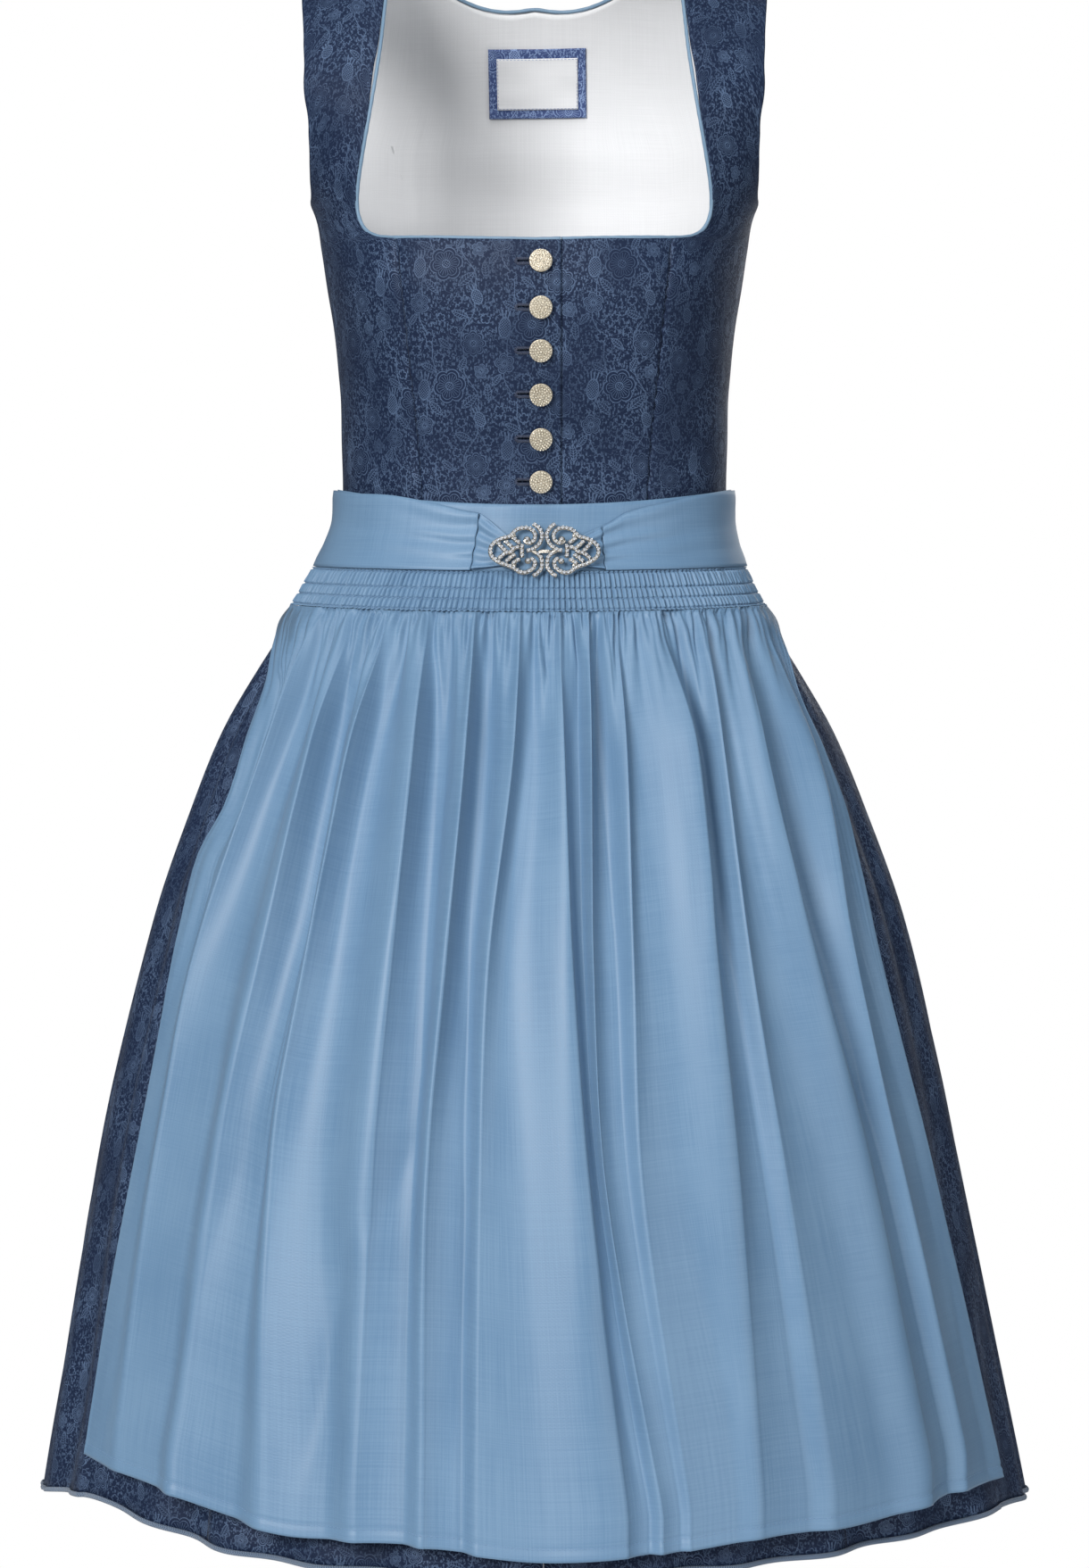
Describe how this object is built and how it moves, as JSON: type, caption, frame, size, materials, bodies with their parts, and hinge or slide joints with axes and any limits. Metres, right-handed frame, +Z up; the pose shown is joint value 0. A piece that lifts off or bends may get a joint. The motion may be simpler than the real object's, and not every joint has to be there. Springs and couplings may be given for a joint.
{
  "type": "dirndl",
  "caption": "Sleeveless knee-length dirndl with a buttoned jacquard bodice, gathered skirt, satin apron with ties and a jewelled clasp, in its worn hollow form.",
  "frame": {"origin": "at shoulder height over the middle of the waist, where the wearer's shoulders hold the garment up", "axes": "+Z up, the garment faces -Y, +X towards the wearer's left"},
  "size_m": [0.6422, 0.549, 0.9908],
  "materials": {
    "navy_jacquard": "navy jacquard with grey-blue flowers",
    "blue_satin": "steel blue satin",
    "white_lining": "matt white lining",
    "label_border": "woven blue border with a floral pattern",
    "blue_piping": "light blue satin piping",
    "blue_braid": "woven braid",
    "antique_silver": "antique silver",
    "clear_stone": "cut clear stones on foil",
    "champagne_metal": "champagne silver filigree",
    "blue_thread": "sewing thread"
  },
  "bodies": {
    "root": {"front_right": "navy_jacquard", "front_left": "navy_jacquard", "side_front_right": "navy_jacquard", "side_front_left": "navy_jacquard", "side_back_right": "navy_jacquard", "side_back_left": "navy_jacquard", "back": "navy_jacquard", "back_lining": "white_lining", "label_border": "label_border", "label": "white_lining", "neck_piping": "blue_piping", "button_1": "champagne_metal", "button_2": "champagne_metal", "button_3": "champagne_metal", "button_4": "champagne_metal", "button_5": "champagne_metal", "button_6": "champagne_metal", "skirt_front_right": "navy_jacquard", "skirt_front_left": "navy_jacquard", "skirt_side_front_right": "navy_jacquard", "skirt_side_front_left": "navy_jacquard", "skirt_side_back_right": "navy_jacquard", "skirt_side_back_left": "navy_jacquard", "skirt_back_left": "navy_jacquard", "skirt_back_right": "navy_jacquard", "hem_braid_front": "blue_braid", "hem_braid_back": "blue_braid", "apron_waistband": "blue_satin", "apron_gathers": "blue_satin", "apron_panel": "blue_satin", "tie_right": "blue_satin", "tie_left": "blue_satin", "tie_loop_right": "blue_satin", "tie_loop_left": "blue_satin", "clasp_right": "antique_silver", "clasp_left": "antique_silver"}
  },
  "joints": []
}
